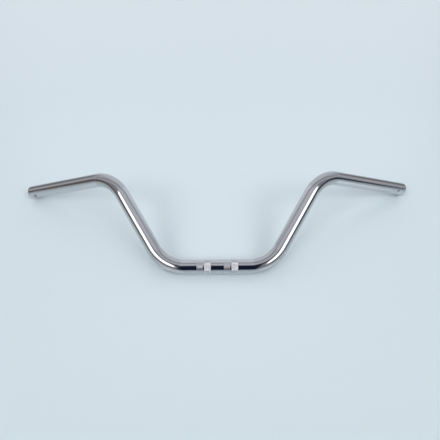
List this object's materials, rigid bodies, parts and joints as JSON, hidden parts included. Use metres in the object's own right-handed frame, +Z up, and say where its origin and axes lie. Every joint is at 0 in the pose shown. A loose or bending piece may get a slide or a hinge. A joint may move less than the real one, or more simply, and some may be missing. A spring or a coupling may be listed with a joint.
{
  "type": "moped handlebar",
  "caption": "Raised handlebar bent from one chrome plated steel tube, with knurled clamp seat, swept back grips and open tube ends.",
  "frame": {"origin": "middle of the clamp seat, on the tube's centre line", "axes": "+X along the clamp seat towards one grip, +Y away from the seat towards the upper bends, +Z up as the bar lies at rest"},
  "size_m": [0.6662, 0.2005, 0.0934],
  "materials": {
    "chrome": "bright chrome plating, lightly worn"
  },
  "bodies": {
    "root": {"handlebar_tube": "chrome"}
  },
  "joints": []
}
